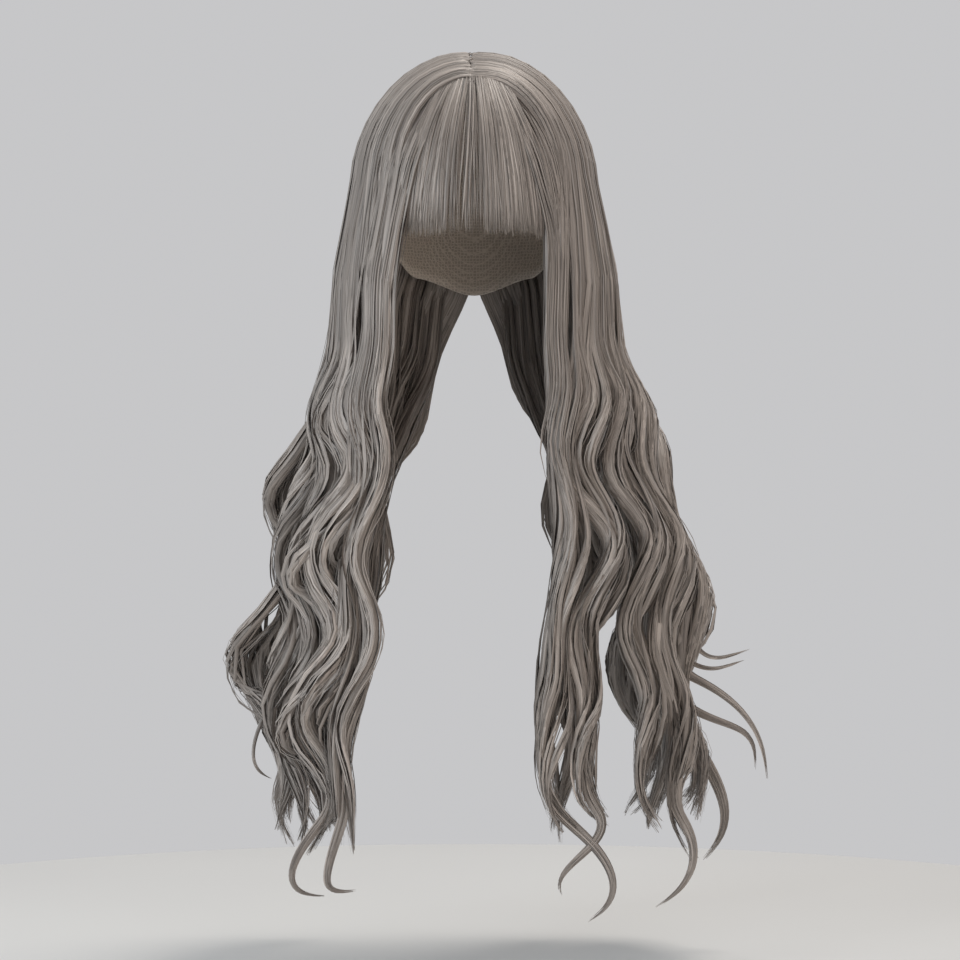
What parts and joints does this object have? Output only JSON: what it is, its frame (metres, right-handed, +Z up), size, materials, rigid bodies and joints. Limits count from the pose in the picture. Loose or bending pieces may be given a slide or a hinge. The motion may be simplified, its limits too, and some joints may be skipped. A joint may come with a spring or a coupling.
{
  "type": "long wavy wig with bangs",
  "caption": "Long wavy wig with straight bangs: an open net cap that takes the head, with a parted crown and hair that hangs in waves to below the chest.",
  "frame": {"origin": "the crown of the head, on the inside of the cap, where the wig sits", "axes": "+Z up, the face looks along -Y, +X to the viewer's right"},
  "size_m": [0.3975, 0.2338, 0.6304],
  "materials": {
    "net": "matte stretch net",
    "fibre": "satin crimped synthetic fibre, ash grey-brown"
  },
  "bodies": {
    "root": {"wig_cap": "net", "bangs": "fibre", "front_lengths_left": "fibre", "front_lengths_right": "fibre", "side_lengths_left": "fibre", "side_lengths_right": "fibre", "back_lengths_left": "fibre", "back_lengths_right": "fibre"}
  },
  "joints": []
}
